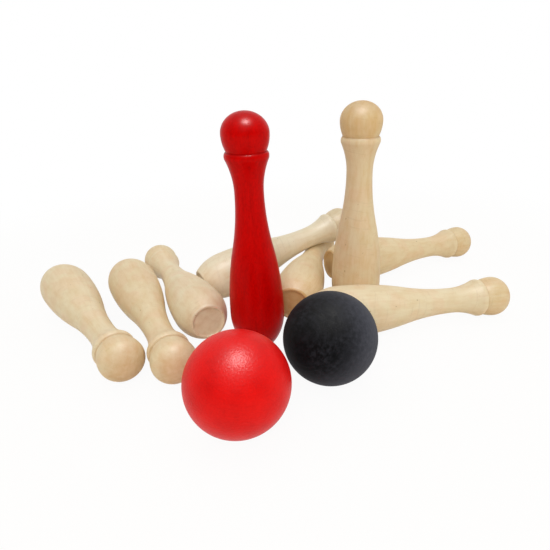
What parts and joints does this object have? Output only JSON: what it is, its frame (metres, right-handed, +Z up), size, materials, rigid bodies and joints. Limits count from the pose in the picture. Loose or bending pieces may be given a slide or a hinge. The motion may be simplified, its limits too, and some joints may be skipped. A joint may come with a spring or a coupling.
{
  "type": "outdoor bowling set",
  "caption": "Loose turned wooden skittle pins with collared heads and a dished foot, some standing and some knocked down, with two plain wooden balls to roll at them.",
  "frame": {"origin": "on the ground, under the middle of the box round the whole group", "axes": "+Z up. +X along the row of pins, the group's long direction, to the right of a bowler who stands on the -Y side. +Y away from the bowler"},
  "size_m": [0.5672, 0.418, 0.23],
  "materials": {
    "natural_wood": "fine-sanded pale hardwood, unfinished, with a faint satin",
    "red_stain": "deep red lacquer, semi-gloss",
    "red_paint": "bright red paint, satin",
    "black_paint": "black paint, matt, slightly clouded"
  },
  "bodies": {
    "pin_middle": {"pin_middle": "natural_wood"},
    "pin_red": {"pin_red": "red_stain"},
    "pin_standing": {"pin_standing": "natural_wood"},
    "pin_leaning": {"pin_leaning": "natural_wood"},
    "pin_left_outer": {"pin_left_outer": "natural_wood"},
    "pin_left_inner": {"pin_left_inner": "natural_wood"},
    "pin_left_back": {"pin_left_back": "natural_wood"},
    "pin_right_back": {"pin_right_back": "natural_wood"},
    "pin_right_front": {"pin_right_front": "natural_wood"},
    "ball_red": {"ball_red": "red_paint"},
    "ball_black": {"ball_black": "black_paint"}
  },
  "joints": [
    {"name": "lift_pin_red", "type": "slide", "parent": "pin_middle", "child": "pin_red", "axis": [0, 0, 1], "range_m": [0, 0.24]},
    {"name": "lift_pin_leaning", "type": "slide", "parent": "pin_middle", "child": "pin_leaning", "axis": [0, 0, 1], "range_m": [0, 0.24]},
    {"name": "lift_pin_left_outer", "type": "slide", "parent": "pin_middle", "child": "pin_left_outer", "axis": [0, 0, 1], "range_m": [0, 0.24]},
    {"name": "lift_pin_left_inner", "type": "slide", "parent": "pin_middle", "child": "pin_left_inner", "axis": [0, 0, 1], "range_m": [0, 0.24]},
    {"name": "lift_pin_left_back", "type": "slide", "parent": "pin_middle", "child": "pin_left_back", "axis": [0, 0, 1], "range_m": [0, 0.24]},
    {"name": "lift_pin_right_back", "type": "slide", "parent": "pin_middle", "child": "pin_right_back", "axis": [0, 0, 1], "range_m": [0, 0.24]},
    {"name": "lift_pin_right_front", "type": "slide", "parent": "pin_middle", "child": "pin_right_front", "axis": [0, 0, 1], "range_m": [0, 0.24]},
    {"name": "topple_pin_standing", "type": "hinge", "parent": "pin_middle", "child": "pin_standing", "pos_m": [0.11496, 0.03658, 0.00986], "axis": [-0.225, 0.9744, 0], "range_deg": [0, 92.08]},
    {"name": "roll_ball_red", "type": "slide", "parent": "pin_middle", "child": "ball_red", "axis": [-0.1961, -0.9806, 0], "range_m": [0, 0.3]},
    {"name": "roll_ball_black", "type": "slide", "parent": "pin_middle", "child": "ball_black", "axis": [0.3304, -0.9439, 0], "range_m": [0, 0.3]}
  ]
}
